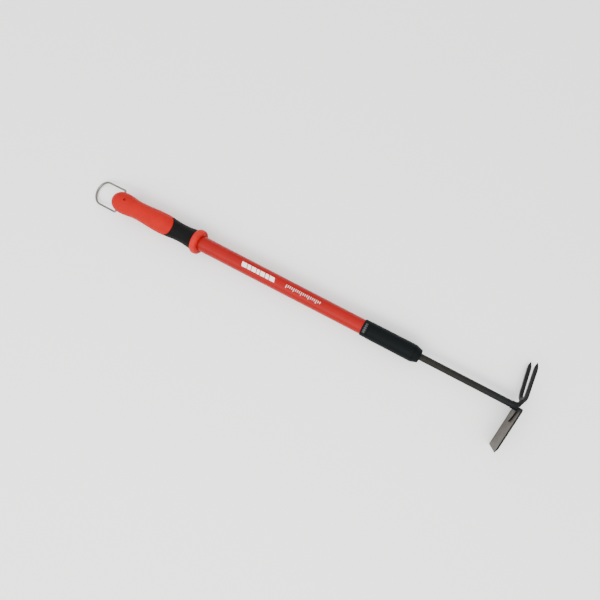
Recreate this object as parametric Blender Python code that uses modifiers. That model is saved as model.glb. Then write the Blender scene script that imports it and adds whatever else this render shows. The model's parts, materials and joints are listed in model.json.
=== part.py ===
"""Stand up weeder: a two-sided weeding hoe on a mid-length handle.

The tool lies flat on its side. Its axis runs along +X from the hanging bail to the head. The fork points to +Y, the
blade to -Y, and +Z is up from the surface it lies on. Sizes are in metres. Stations are distances along the axis
from the grip's rounded end. Every piece is modelled about the tool's axis and hangs on the empty tool_axis, which
moves the whole tool so that the origin is at the bottom centre of its box.
"""

from math import asin, atan2, cos, pi, radians, sin, sqrt

import bmesh
import bpy
from mathutils import Vector

# Clearances
GAP = 0.0003  # between two pieces that touch
SLIP = 0.0003  # between a pin or screw and its hole

# Handle tube
TUBE_R = 0.0129
TUBE_WALL = 0.0013
TUBE_VISIBLE_LENGTH = 0.2997
TUBE_IN_FERRULE = 0.0470

# Grip outline: stations from the rounded end, with the thickness over the tube at each
GRIP_BULB_X = 0.0186
GRIP_BULB_WALL = 0.0045
GRIP_WAIST_X = 0.0450
GRIP_WAIST_WALL = 0.0020
GRIP_BELLY_X = 0.0890
GRIP_BELLY_WALL = 0.0044
GRIP_NECK_X = 0.1255
GRIP_NECK_WALL = 0.0018
GRIP_END_X = 0.1513
GRIP_END_WALL = 0.0046
GRIP_CLOSED_END = 0.0070  # solid stretch beyond the end plug
GRIP_DOME_POWER = 2.3

# The red grip body ends in a rounded nose on top and below, and the black sleeve fits round it
GRIP_SPLIT_X = 0.1022
GRIP_NOSE_LENGTH = 0.0118
GRIP_NOSE_HALF_WIDTH = 0.0150

# Flange at the grip's front. Its rim, the blade's side and the lower tine all touch the surface the tool lies on
FLANGE_STEP = 0.0032  # how far the rim stands above the grip's end
FLANGE_LENGTH = 0.0100
FLANGE_EDGE = 0.0035  # rounding of the rim

# Hanging bail: a wire hoop that swings on its two inturned ends
WIRE_R = 0.0017
BAIL_PIVOT_X = 0.0113
BAIL_SIDE_GAP = 0.0003  # between the wire and the widest part of the grip
BAIL_LEG_LENGTH = 0.0421
BAIL_BEND_R = 0.0028
BAIL_PIN_INNER = 0.0080  # how near to the axis the inturned ends reach

# End plug inside the grip
PLUG_HEAD_LENGTH = 0.0240
PLUG_SPIGOT_LENGTH = 0.0230
PLUG_HOLLOW_R = 0.0070

# Screw that holds the grip body to the end plug
SCREW_X = 0.0263
SCREW_Y = 0.0054
SCREW_SHANK_R = 0.0012
SCREW_HEAD_R = 0.0018
SCREW_HEAD_HEIGHT = 0.0014
SCREW_HEAD_SINK = 0.0008
SCREW_LENGTH = 0.0090

# Ferrule between the tube and the rod
FERRULE_RIM_WALL = 0.0013
FERRULE_RIM_LENGTH = 0.0105
FERRULE_BODY_WALL = 0.0016
FERRULE_FRONT_WALL = 0.0019
FERRULE_LENGTH = 0.0937
FERRULE_GROOVE = 0.0004
NOSE_LENGTH = 0.0128
NOSE_FRONT_WALL = 0.0054
NOSE_SPIGOT_LENGTH = 0.0180

# Bushes that centre the rod in the tube, and the pin that locks it
BUSH_LENGTH = 0.0200
BUSH_SPACING = 0.0500
BUSH_LIP = 0.0020
LOCK_PIN_R = 0.0020
LOCK_PIN_SINK = 0.0004

# Rod
ROD_R = 0.0060
ROD_VISIBLE_LENGTH = 0.1818
ROD_ABOVE_BUSH = 0.0060

# Head
HUB_WALL = 0.0010
HUB_LENGTH = 0.0120
HUB_TAPER = 0.0050
BLADE_REACH = 0.0800
BLADE_EDGE_SLANT = 0.0022  # how much further one end of the edge reaches than its middle
BLADE_HALF_WIDTH = 0.0240
BLADE_TOP = 0.0010
BLADE_THICKNESS = 0.0030
BLADE_CORNER_R = 0.0060
BLADE_EDGE_CORNER_R = 0.0020
BLADE_LEAN = radians(5.6)
BLADE_GRIND = 0.0080
BLADE_EDGE_THICKNESS = 0.0005
FORK_REACH = 0.0780
FORK_THICKNESS = 0.0070
FORK_LEAN = radians(9.7)
FORK_YOKE_TOP = 0.0245
FORK_YOKE_BOTTOM = 0.0098
FORK_YOKE_HALF_WIDTH = 0.0183
FORK_FOOT_HALF_WIDTH = 0.0062
FORK_FOOT_THICKNESS = 0.0025
TINE_WIDTH = 0.0066
TINE_SPLAY = 0.0028  # how far each tine spreads from yoke to point
TINE_POINT_LENGTH = 0.0140
TINE_POINT_WIDTH = 0.0008
GUSSET_THICKNESS = 0.0022
GUSSET_LENGTH = 0.0205
GUSSET_ROOT_HALF_WIDTH = 0.0110
GUSSET_TIP_HALF_WIDTH = 0.0040
GUSSET_TIP_CORNER = 0.0015

# Small chamfers and margins
SMALL_CHAMFER = 0.0010
BUSH_CHAMFER = 0.0008
FERRULE_CHAMFER = 0.0006
NOSE_SHOULDER = 0.0005
SCREW_HEAD_CHAMFER = 0.0004
FLANGE_FACE_RING = 0.0020
HUB_ROOT_WALL = 0.0003
LEVEL_TOLERANCE = 0.0001  # share of a ground length, or metres, that still counts as level
CUT_MARGIN = 0.0010  # how far a cutter runs past what it cuts
WIDE_MARGIN = 0.0100
CUTTER_DEPTH = 0.0600

# Smoothness
FINE_STEPS = 40
INNER_STEPS = 28
WIRE_RESOLUTION = 4

# Radii that follow from the sizes above
TUBE_INNER_R = TUBE_R - TUBE_WALL
SLEEVE_BORE_R = TUBE_R + GAP
ROD_BORE_R = ROD_R + GAP
GRIP_BULB_R = SLEEVE_BORE_R + GRIP_BULB_WALL
GRIP_WAIST_R = SLEEVE_BORE_R + GRIP_WAIST_WALL
GRIP_BELLY_R = SLEEVE_BORE_R + GRIP_BELLY_WALL
GRIP_NECK_R = SLEEVE_BORE_R + GRIP_NECK_WALL
GRIP_END_R = SLEEVE_BORE_R + GRIP_END_WALL
FLANGE_R = GRIP_END_R + FLANGE_STEP
FERRULE_RIM_R = SLEEVE_BORE_R + FERRULE_RIM_WALL
FERRULE_BODY_R = SLEEVE_BORE_R + FERRULE_BODY_WALL
FERRULE_FRONT_R = SLEEVE_BORE_R + FERRULE_FRONT_WALL
NOSE_FRONT_R = ROD_BORE_R + NOSE_FRONT_WALL
HUB_R = ROD_BORE_R + HUB_WALL
LYING_HEIGHT = max(FLANGE_R, BLADE_HALF_WIDTH)
BAIL_HALF_WIDTH = GRIP_BULB_R + BAIL_SIDE_GAP + WIRE_R

# Stations that follow from the sizes above
FLANGE_FRONT_X = GRIP_END_X + FLANGE_LENGTH
FERRULE_X = FLANGE_FRONT_X + TUBE_VISIBLE_LENGTH
TUBE_END_X = FERRULE_X + TUBE_IN_FERRULE
FERRULE_END_X = FERRULE_X + FERRULE_LENGTH
NOSE_END_X = FERRULE_END_X + NOSE_LENGTH
HEAD_X = NOSE_END_X + ROD_VISIBLE_LENGTH
PLUG_X = GRIP_CLOSED_END + GAP
TUBE_X = PLUG_X + PLUG_HEAD_LENGTH + GAP
LOWER_BUSH_X = TUBE_END_X - BUSH_LENGTH - BUSH_LIP
UPPER_BUSH_X = LOWER_BUSH_X - BUSH_SPACING
ROD_X = UPPER_BUSH_X - ROD_ABOVE_BUSH
LOCK_PIN_X = LOWER_BUSH_X + BUSH_LENGTH / 2
BAIL_REACH = BAIL_LEG_LENGTH + BAIL_HALF_WIDTH
BAIL_DROOP = asin((LYING_HEIGHT - WIRE_R) / BAIL_REACH)

RED_RUBBER = (0.584, 0.046, 0.036, 1.0)
RED_PLASTIC = (0.752, 0.045, 0.034, 1.0)
RED_PAINT = (0.515, 0.039, 0.030, 1.0)
BLACK_RUBBER = (0.017, 0.018, 0.019, 1.0)
BLACK_PLASTIC = (0.014, 0.021, 0.023, 1.0)
DARK_STEEL = (0.036, 0.034, 0.030, 1.0)
BLADE_STEEL = (0.180, 0.156, 0.133, 1.0)
BRIGHT_STEEL = (0.420, 0.410, 0.390, 1.0)


def clear_scene():
    for old in list(bpy.data.objects):
        bpy.data.objects.remove(old)


def new_collection(name):
    collection = bpy.data.collections.new(name)
    bpy.context.scene.collection.children.link(collection)
    return collection


def new_material(name, colour, roughness, metallic):
    material = bpy.data.materials.new(name)
    material.use_nodes = True
    shader = material.node_tree.nodes["Principled BSDF"]
    shader.inputs["Base Color"].default_value = colour
    shader.inputs["Roughness"].default_value = roughness
    shader.inputs["Metallic"].default_value = metallic
    material.diffuse_color = colour
    return material


def add_object(name, data, collection, parent, station=0.0):
    made = bpy.data.objects.new(name, data)
    collection.objects.link(made)
    made.parent = parent
    made.location = (station, 0.0, 0.0)
    return made


def finish(piece, colour, roughness, metallic=0.0):
    piece.data.materials.append(new_material(piece.name + "_material", colour, roughness, metallic))
    return piece


def hide_cutter(cutter):
    cutter.hide_render = True
    cutter.display_type = "WIRE"
    return cutter


def turned(name, profile, collection, parent, closed=False, steps=FINE_STEPS):
    """A solid turned about the tool's axis, from (station, radius) points that run from the head end to the bail end."""
    points = [(radius, 0.0, station) for station, radius in profile]
    edges = [(i, i + 1) for i in range(len(points) - 1)]
    if closed:
        edges.append((len(points) - 1, 0))
    mesh = bpy.data.meshes.new(name)
    mesh.from_pydata(points, edges, [])
    made = add_object(name, mesh, collection, parent)
    made.rotation_euler = (0.0, pi / 2, 0.0)
    screw = made.modifiers.new("turn", "SCREW")
    screw.axis = "Z"
    screw.steps = steps
    screw.render_steps = steps
    screw.use_merge_vertices = True
    screw.merge_threshold = 0.00005
    screw.use_smooth_shade = True
    return made


def sleeve(name, outer, bore, collection, parent, steps=FINE_STEPS):
    """A hollow turned piece: its outer points run head end first, and the bore runs straight back through it."""
    inner = [(outer[-1][0], bore), (outer[0][0], bore)]
    return turned(name, outer + inner, collection, parent, closed=True, steps=steps)


def cross_bar(name, radius, length, station, collection, parent, sides=16):
    """A plain round bar or drill that crosses the tool's axis at a station, from side to side."""
    mesh = bpy.data.meshes.new(name)
    shape = bmesh.new()
    bmesh.ops.create_cone(shape, cap_ends=True, segments=sides, radius1=radius, radius2=radius, depth=length)
    shape.to_mesh(mesh)
    shape.free()
    made = add_object(name, mesh, collection, parent, station)
    made.rotation_euler = (pi / 2, 0.0, 0.0)
    return made


def as_mesh(curve_object, collection):
    """The same shape as a mesh object with its caps welded, in the curve's place."""
    graph = bpy.context.evaluated_depsgraph_get()
    mesh = bpy.data.meshes.new_from_object(curve_object.evaluated_get(graph))
    shape = bmesh.new()
    shape.from_mesh(mesh)
    bmesh.ops.remove_doubles(shape, verts=shape.verts, dist=0.00001)
    bmesh.ops.recalc_face_normals(shape, faces=shape.faces)
    shape.to_mesh(mesh)
    shape.free()
    name = curve_object.name
    curve_object.name = name + "_curve"
    made = bpy.data.objects.new(name, mesh)
    collection.objects.link(made)
    made.parent = curve_object.parent
    made.location = curve_object.location
    made.rotation_euler = curve_object.rotation_euler
    bpy.data.objects.remove(curve_object)
    return made


def plate(name, outline, thickness, collection, parent):
    """A flat plate from a closed outline in its own XY plane, centred on that plane."""
    curve = bpy.data.curves.new(name, "CURVE")
    curve.dimensions = "2D"
    curve.fill_mode = "BOTH"
    curve.extrude = thickness / 2
    spline = curve.splines.new("POLY")
    spline.points.add(len(outline) - 1)
    for point, (x, y) in zip(spline.points, outline):
        point.co = (x, y, 0.0, 1.0)
    spline.use_cyclic_u = True
    return as_mesh(add_object(name, curve, collection, parent), collection)


def cut(piece, cutter, operation="DIFFERENCE"):
    boolean = piece.modifiers.new("with_" + cutter.name, "BOOLEAN")
    boolean.operation = operation
    boolean.object = cutter
    boolean.solver = "EXACT"


def thin_beyond(piece, start, end, end_thickness, keep_side=0.0):
    """Thins a plate evenly from one height to another. keep_side 0 thins both faces, and 1 keeps the handle's side."""
    shape = bmesh.new()
    shape.from_mesh(piece.data)
    everything = list(shape.verts) + list(shape.edges) + list(shape.faces)
    bmesh.ops.bisect_plane(shape, geom=everything, plane_co=(0.0, start, 0.0), plane_no=(0.0, 1.0, 0.0))
    half = max(vertex.co.z for vertex in shape.verts)
    for vertex in shape.verts:
        share = (vertex.co.y - start) / (end - start)
        if share <= LEVEL_TOLERANCE:
            continue
        ratio = 1.0 - share * (1.0 - end_thickness / (2 * half))
        vertex.co.z = keep_side * half + (vertex.co.z - keep_side * half) * ratio
    shape.to_mesh(piece.data)
    shape.free()


def slant_beyond(piece, start, slope):
    """Leans the line of a plate's end over: everything past a height moves down in step with its own x."""
    for vertex in piece.data.vertices:
        if vertex.co.y <= start + LEVEL_TOLERANCE:
            vertex.co.y -= vertex.co.x * slope


def arc(centre, radii, start, end, count):
    """Points along an arc or a stretch of ellipse, ends included."""
    points = []
    for i in range(count + 1):
        angle = start + (end - start) * i / count
        points.append((centre[0] + radii[0] * cos(angle), centre[1] + radii[1] * sin(angle)))
    return points


def blend(first, second, share):
    """Runs smoothly from one radius to the next, level at both ends."""
    return first + (second - first) * (1 - cos(pi * share)) / 2


def grip_radius(x):
    """The grip's outer radius at a station."""
    if x <= GRIP_BULB_X:
        share = (GRIP_BULB_X - x) / GRIP_BULB_X
        return GRIP_BULB_R * sqrt(max(0.0, 1 - share**GRIP_DOME_POWER))
    if x <= GRIP_WAIST_X:
        return blend(GRIP_BULB_R, GRIP_WAIST_R, (x - GRIP_BULB_X) / (GRIP_WAIST_X - GRIP_BULB_X))
    if x <= GRIP_BELLY_X:
        return blend(GRIP_WAIST_R, GRIP_BELLY_R, (x - GRIP_WAIST_X) / (GRIP_BELLY_X - GRIP_WAIST_X))
    if x <= GRIP_NECK_X:
        return blend(GRIP_BELLY_R, GRIP_NECK_R, (x - GRIP_BELLY_X) / (GRIP_NECK_X - GRIP_BELLY_X))
    share = (x - GRIP_NECK_X) / (GRIP_END_X - GRIP_NECK_X)
    return GRIP_NECK_R + (GRIP_END_R - GRIP_NECK_R) * (1 - cos(pi / 2 * share))


def grip_profile(start, end, count):
    """(station, radius) points of the grip from its head end back to its bail end."""
    stations = [end + (start - end) * i / count for i in range(count + 1)]
    return [(x, grip_radius(x)) for x in stations]


def dome_profile():
    """The rounded end, with stations packed towards the tip."""
    points = []
    for i in range(1, 9):
        x = GRIP_BULB_X * (1 - sin(pi / 2 * i / 8))
        points.append((x, grip_radius(x)))
    points[-1] = (0.0, 0.0)
    return points


def nose_outline(back, offset):
    """The red grip body's outline seen from above, ending in an elliptical nose, grown by an offset."""
    wide = GRIP_BULB_R + WIDE_MARGIN
    split = GRIP_SPLIT_X + offset
    nose = arc(
        (split, 0.0),
        (GRIP_NOSE_LENGTH, GRIP_NOSE_HALF_WIDTH + offset),
        -pi / 2,
        pi / 2,
        16,
    )
    return [(back, -wide), (split, -wide)] + nose + [(split, wide), (back, wide)]


def build_grip(parts, cutters, axis):
    """The red body, the black sleeve and the flange, each one a sleeve on the tube."""
    end = GRIP_SPLIT_X + GRIP_NOSE_LENGTH + CUT_MARGIN
    outside = grip_profile(GRIP_BULB_X, end, 22) + dome_profile()
    bore = [(GRIP_CLOSED_END, 0.0), (GRIP_CLOSED_END, SLEEVE_BORE_R), (end, SLEEVE_BORE_R)]
    body = turned("grip_body", outside + bore, parts, axis, closed=True)
    red_zone = plate("red_zone", nose_outline(-WIDE_MARGIN, 0.0), CUTTER_DEPTH, cutters, axis)
    cut(body, hide_cutter(red_zone), "INTERSECT")

    black_outside = grip_profile(GRIP_SPLIT_X + GAP, GRIP_END_X - GAP, 14)
    black = sleeve("grip_black_sleeve", black_outside, SLEEVE_BORE_R, parts, axis)
    nose_room = plate("nose_room", nose_outline(GRIP_SPLIT_X - WIDE_MARGIN, GAP), CUTTER_DEPTH, cutters, axis)
    cut(black, hide_cutter(nose_room))

    rim = FLANGE_R - FLANGE_EDGE
    front = FLANGE_FRONT_X
    flange_outside = [(front, SLEEVE_BORE_R + FLANGE_FACE_RING)]
    flange_outside += arc((front - FLANGE_EDGE, rim), (FLANGE_EDGE, FLANGE_EDGE), 0.0, pi / 2, 5)
    back_centre = (GRIP_END_X + FLANGE_EDGE, rim)
    flange_outside += arc(back_centre, (FLANGE_EDGE, FLANGE_EDGE), pi / 2, pi, 5)
    flange = sleeve("grip_flange", flange_outside, SLEEVE_BORE_R, parts, axis)
    finish(body, RED_RUBBER, 0.55)
    finish(black, BLACK_RUBBER, 0.6)
    finish(flange, RED_PLASTIC, 0.35)
    return body


def build_end_plug(parts, axis):
    """The plug that closes the tube inside the grip and holds the bail's ends."""
    head_end = PLUG_X + PLUG_HEAD_LENGTH
    spigot_end = head_end + PLUG_SPIGOT_LENGTH
    spigot_r = TUBE_INNER_R - GAP
    profile = [
        (spigot_end, PLUG_HOLLOW_R),
        (spigot_end, spigot_r - SMALL_CHAMFER),
        (spigot_end - SMALL_CHAMFER, spigot_r),
        (head_end, spigot_r),
        (head_end, TUBE_R),
        (PLUG_X, TUBE_R),
        (PLUG_X, 0.0),
        (head_end, 0.0),
        (head_end, PLUG_HOLLOW_R),
    ]
    plug = turned("end_plug", profile, parts, axis, closed=True, steps=INNER_STEPS)
    return finish(plug, BLACK_PLASTIC, 0.5)


def build_grip_screw(parts, cutters, axis, body, plug):
    """A small screw from the top of the grip into the end plug, with its stepped hole in both."""
    surface = sqrt(grip_radius(SCREW_X) ** 2 - SCREW_Y**2)
    top = surface - SCREW_HEAD_SINK
    under_head = top - SCREW_HEAD_HEIGHT
    tip = under_head - SCREW_LENGTH
    profile = [
        (top, 0.0),
        (top, SCREW_HEAD_R - SCREW_HEAD_CHAMFER),
        (top - SCREW_HEAD_CHAMFER, SCREW_HEAD_R),
        (under_head, SCREW_HEAD_R),
        (under_head, SCREW_SHANK_R),
        (tip + SMALL_CHAMFER, SCREW_SHANK_R),
        (tip, 0.0),
    ]
    screw = turned("grip_screw", profile, parts, axis, steps=16)
    hole = [
        (surface + CUT_MARGIN, 0.0),
        (surface + CUT_MARGIN, SCREW_HEAD_R + SLIP),
        (under_head - GAP, SCREW_HEAD_R + SLIP),
        (under_head - GAP, SCREW_SHANK_R + SLIP),
        (tip - GAP, SCREW_SHANK_R + SLIP),
        (tip - GAP, 0.0),
    ]
    drill = turned("screw_drill", hole, cutters, axis, steps=16)
    for upright in (screw, drill):
        upright.rotation_euler = (0.0, 0.0, 0.0)
        upright.location = (SCREW_X, SCREW_Y, 0.0)
    cut(body, hide_cutter(drill))
    cut(plug, drill)
    return finish(screw, DARK_STEEL, 0.4, 1.0)


def bail_path():
    """Centre line of the bail in its own frame: the pivot is at the origin and the bow at -X."""
    bend_centre = (-BAIL_BEND_R, BAIL_HALF_WIDTH - BAIL_BEND_R)
    side = [(0.0, BAIL_PIN_INNER)]
    side += arc(bend_centre, (BAIL_BEND_R, BAIL_BEND_R), 0.0, pi / 2, 4)
    bow = arc((-BAIL_LEG_LENGTH, 0.0), (BAIL_HALF_WIDTH, BAIL_HALF_WIDTH), pi / 2, 3 * pi / 2, 20)
    return side + bow + [(x, -y) for x, y in reversed(side)]


def build_bail(parts, cutters, axis, body, plug):
    """The hanging hoop, drooping until its bow lies on the surface, and the holes for its ends."""
    path = bail_path()
    curve = bpy.data.curves.new("bail", "CURVE")
    curve.dimensions = "3D"
    curve.bevel_depth = WIRE_R
    curve.bevel_resolution = WIRE_RESOLUTION
    curve.use_fill_caps = True
    spline = curve.splines.new("POLY")
    spline.points.add(len(path) - 1)
    for point, (x, y) in zip(spline.points, path):
        point.co = (x, y, 0.0, 1.0)
    bail = add_object("bail", curve, parts, axis, BAIL_PIVOT_X)
    bail.rotation_euler = (0.0, -BAIL_DROOP, 0.0)
    drill_length = 2 * (GRIP_BULB_R + WIDE_MARGIN)
    drill = cross_bar("bail_drill", WIRE_R + SLIP, drill_length, BAIL_PIVOT_X, cutters, axis)
    cut(body, hide_cutter(drill))
    cut(plug, drill)
    return finish(bail, BRIGHT_STEEL, 0.35, 1.0)


def build_tube(parts, axis):
    profile = [(TUBE_END_X, TUBE_R), (TUBE_X, TUBE_R)]
    return finish(sleeve("tube", profile, TUBE_INNER_R, parts, axis), RED_PAINT, 0.35)


def build_ferrule(parts, cutters, axis):
    """The black plastic ferrule over the tube's end, and the nose that steps down to the rod."""
    rim_end = FERRULE_X + FERRULE_RIM_LENGTH
    outside = [
        (FERRULE_END_X, FERRULE_FRONT_R),
        (rim_end + FERRULE_GROOVE, FERRULE_BODY_R),
        (rim_end + FERRULE_GROOVE, FERRULE_RIM_R - FERRULE_GROOVE),
        (rim_end, FERRULE_RIM_R - FERRULE_GROOVE),
        (rim_end, FERRULE_RIM_R),
        (FERRULE_X + FERRULE_CHAMFER, FERRULE_RIM_R),
        (FERRULE_X, FERRULE_RIM_R - FERRULE_CHAMFER),
    ]
    body = sleeve("ferrule_body", outside, SLEEVE_BORE_R, parts, axis)
    start = FERRULE_END_X + GAP
    spigot = start - NOSE_SPIGOT_LENGTH
    spigot_r = SLEEVE_BORE_R - GAP
    nose_outside = [
        (NOSE_END_X, NOSE_FRONT_R - SMALL_CHAMFER),
        (NOSE_END_X - SMALL_CHAMFER, NOSE_FRONT_R),
        (start + NOSE_SHOULDER, FERRULE_FRONT_R),
        (start, FERRULE_FRONT_R),
        (start, spigot_r),
        (spigot, spigot_r),
    ]
    nose = sleeve("ferrule_nose", nose_outside, ROD_BORE_R, parts, axis)
    return [finish(body, BLACK_PLASTIC, 0.45), finish(nose, BLACK_PLASTIC, 0.45)]


def build_bush(name, station, parts, axis):
    """A plastic bush that fills the space between the rod and the tube."""
    end = station + BUSH_LENGTH
    outer = TUBE_INNER_R - GAP
    outside = [
        (end, outer - BUSH_CHAMFER),
        (end - BUSH_CHAMFER, outer),
        (station + BUSH_CHAMFER, outer),
        (station, outer - BUSH_CHAMFER),
    ]
    return finish(sleeve(name, outside, ROD_BORE_R, parts, axis, INNER_STEPS), BLACK_PLASTIC, 0.5)


def build_rod(parts, axis):
    """The steel rod, from inside the tube to the head. It stops short of the blade's inner face."""
    end = HEAD_X - GAP - ROD_R * sin(FORK_LEAN)
    profile = [
        (end, 0.0),
        (end, ROD_R),
        (ROD_X + SMALL_CHAMFER, ROD_R),
        (ROD_X, ROD_R - SMALL_CHAMFER),
        (ROD_X, 0.0),
    ]
    return finish(turned("rod", profile, parts, axis), DARK_STEEL, 0.45, 1.0)


def build_lock_pin(parts, cutters, axis, crossed):
    """The pin through tube, lower bush and rod, hidden by the ferrule."""
    pin = cross_bar("lock_pin", LOCK_PIN_R, 2 * (TUBE_R - LOCK_PIN_SINK), LOCK_PIN_X, parts, axis)
    drill_length = 2 * (TUBE_R + WIDE_MARGIN)
    drill = cross_bar("pin_drill", LOCK_PIN_R + SLIP, drill_length, LOCK_PIN_X, cutters, axis)
    hide_cutter(drill)
    for piece in crossed:
        cut(piece, drill)
    return finish(pin, BRIGHT_STEEL, 0.4, 1.0)


def lean_cutter(name, lean, side, cutters, axis):
    """A block whose back face lies just behind the inner face of the blade or the fork."""
    mesh = bpy.data.meshes.new(name)
    shape = bmesh.new()
    bmesh.ops.create_cube(shape, size=CUTTER_DEPTH)
    bmesh.ops.translate(shape, verts=shape.verts, vec=(CUTTER_DEPTH / 2, 0.0, 0.0))
    shape.to_mesh(mesh)
    shape.free()
    cutter = add_object(name, mesh, cutters, axis, HEAD_X - GAP)
    cutter.rotation_euler = (0.0, 0.0, side * lean)
    return hide_cutter(cutter)


def build_hub(parts, cutters, axis):
    """The collar welded round the rod's end. Its front follows the leaning blade and fork."""
    back = HEAD_X - HUB_LENGTH
    outside = [(HEAD_X + CUT_MARGIN, HUB_R), (back + HUB_TAPER, HUB_R), (back, ROD_BORE_R + HUB_ROOT_WALL)]
    hub = sleeve("head_hub", outside, ROD_BORE_R, parts, axis)
    cut(hub, lean_cutter("blade_side_block", BLADE_LEAN, -1, cutters, axis))
    cut(hub, lean_cutter("fork_side_block", FORK_LEAN, 1, cutters, axis))
    return finish(hub, DARK_STEEL, 0.5, 1.0)


def stand_in_head(piece, lean, thickness):
    """Turns a plate across the tool's axis with its inner face at the head's station, leaning to the handle."""
    piece.rotation_euler = (0.0, -pi / 2, lean)
    offset = Vector((cos(lean), sin(lean), 0.0)) * thickness / 2
    piece.location = Vector((HEAD_X, 0.0, 0.0)) + offset


def build_blade(parts, axis):
    """A flat steel blade with round shoulders and a ground cutting edge."""
    width = BLADE_HALF_WIDTH
    shoulder = BLADE_TOP - BLADE_CORNER_R
    low_corner = -BLADE_REACH / cos(BLADE_LEAN) + BLADE_EDGE_CORNER_R
    low_r = BLADE_EDGE_CORNER_R
    outline = arc((width - BLADE_CORNER_R, shoulder), (BLADE_CORNER_R, BLADE_CORNER_R), pi / 2, 0.0, 6)
    outline += arc((width - low_r, low_corner), (low_r, low_r), 0.0, -pi / 2, 3)
    outline += [(-x, y) for x, y in reversed(outline)]
    blade = plate("blade", outline, BLADE_THICKNESS, parts, axis)
    edge = min(y for x, y in outline)
    thin_beyond(blade, edge + BLADE_GRIND, edge, BLADE_EDGE_THICKNESS, keep_side=1.0)
    slant_beyond(blade, edge + BLADE_GRIND, BLADE_EDGE_SLANT / BLADE_HALF_WIDTH)
    stand_in_head(blade, -BLADE_LEAN, BLADE_THICKNESS)
    return finish(blade, BLADE_STEEL, 0.5, 1.0)


def build_fork(parts, axis):
    """A yoke on a thin foot, with two pointed tines that spread a little."""
    outer = FORK_YOKE_HALF_WIDTH
    inner = outer - TINE_WIDTH
    foot = FORK_FOOT_HALF_WIDTH
    bottom = BLADE_TOP + GAP
    tip = FORK_REACH / cos(FORK_LEAN)
    point = tip - TINE_POINT_LENGTH
    middle = outer - TINE_WIDTH / 2 + TINE_SPLAY
    depth = FORK_YOKE_TOP - FORK_YOKE_BOTTOM
    yoke = (0.0, FORK_YOKE_TOP)
    foot_angle = -atan2(sqrt(1 - (foot / outer) ** 2), foot / outer)
    half = [(foot, bottom)]
    half += arc(yoke, (outer, depth), foot_angle, 0.0, 8)
    half += [(outer + TINE_SPLAY, point), (middle + TINE_POINT_WIDTH / 2, tip)]
    half += [(middle - TINE_POINT_WIDTH / 2, tip), (inner + TINE_SPLAY, point)]
    half += arc(yoke, (inner, depth - TINE_WIDTH), 0.0, -pi / 2, 8)
    outline = half + [(-x, y) for x, y in reversed(half[:-1])]
    fork = plate("fork", outline, FORK_THICKNESS, parts, axis)
    thin_beyond(fork, point, tip, TINE_POINT_WIDTH)
    thin_beyond(fork, FORK_YOKE_BOTTOM, bottom, FORK_FOOT_THICKNESS, keep_side=1.0)
    stand_in_head(fork, FORK_LEAN, FORK_THICKNESS)
    return finish(fork, DARK_STEEL, 0.5, 1.0)


def build_gusset(parts, axis):
    """A tapering plate under the hub that stiffens the blade's inner face."""
    top = -(HUB_R + GAP)
    low = top - GUSSET_LENGTH
    root = GUSSET_ROOT_HALF_WIDTH
    tip = GUSSET_TIP_HALF_WIDTH
    half = [(root, top), (tip, low + GUSSET_TIP_CORNER), (tip - GUSSET_TIP_CORNER, low)]
    outline = half + [(-x, y) for x, y in reversed(half)]
    gusset = plate("blade_gusset", outline, GUSSET_THICKNESS, parts, axis)
    stand_in_head(gusset, -BLADE_LEAN, GUSSET_THICKNESS)
    offset = Vector((cos(BLADE_LEAN), -sin(BLADE_LEAN), 0.0)) * (GUSSET_THICKNESS + GAP)
    gusset.location -= offset
    return finish(gusset, DARK_STEEL, 0.5, 1.0)


def lay_on_surface(parts, axis):
    """Moves the tool so that the origin is at the bottom centre of its box."""
    bpy.context.view_layer.update()
    graph = bpy.context.evaluated_depsgraph_get()
    low = Vector((1.0, 1.0, 1.0))
    high = Vector((-1.0, -1.0, -1.0))
    for piece in parts.objects:
        evaluated = piece.evaluated_get(graph)
        mesh = evaluated.to_mesh()
        for vertex in mesh.vertices:
            point = evaluated.matrix_world @ vertex.co
            low = Vector(map(min, low, point))
            high = Vector(map(max, high, point))
        evaluated.to_mesh_clear()
    centre = (low + high) / 2
    axis.location = (-centre.x, -centre.y, LYING_HEIGHT)


def main():
    clear_scene()
    parts = new_collection("stand_up_weeder")
    cutters = new_collection("cutters")
    axis = bpy.data.objects.new("tool_axis", None)
    bpy.context.scene.collection.objects.link(axis)

    grip_body = build_grip(parts, cutters, axis)
    plug = build_end_plug(parts, axis)
    build_grip_screw(parts, cutters, axis, grip_body, plug)
    build_bail(parts, cutters, axis, grip_body, plug)
    tube = build_tube(parts, axis)
    build_ferrule(parts, cutters, axis)
    build_bush("rod_bush_upper", UPPER_BUSH_X, parts, axis)
    lower_bush = build_bush("rod_bush_lower", LOWER_BUSH_X, parts, axis)
    rod = build_rod(parts, axis)
    build_lock_pin(parts, cutters, axis, [tube, lower_bush, rod])
    build_hub(parts, cutters, axis)
    build_blade(parts, axis)
    build_fork(parts, axis)
    build_gusset(parts, axis)
    lay_on_surface(parts, axis)


if __name__ == "__main__":
    main()
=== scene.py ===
"""Stand up weeder: the finished look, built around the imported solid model.

Every visible piece is a fine mesh that stands for one solid of the frame and takes its place from it.
Lengths are in metres. Pieces of the handle are made about the tool's axis: x is the station along the axis
from the grip's rounded end, y points to the fork's side and z up from the surface that the tool lies on.
"""

import json
from math import asin, cos, exp, pi, radians, sin, sqrt

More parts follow.
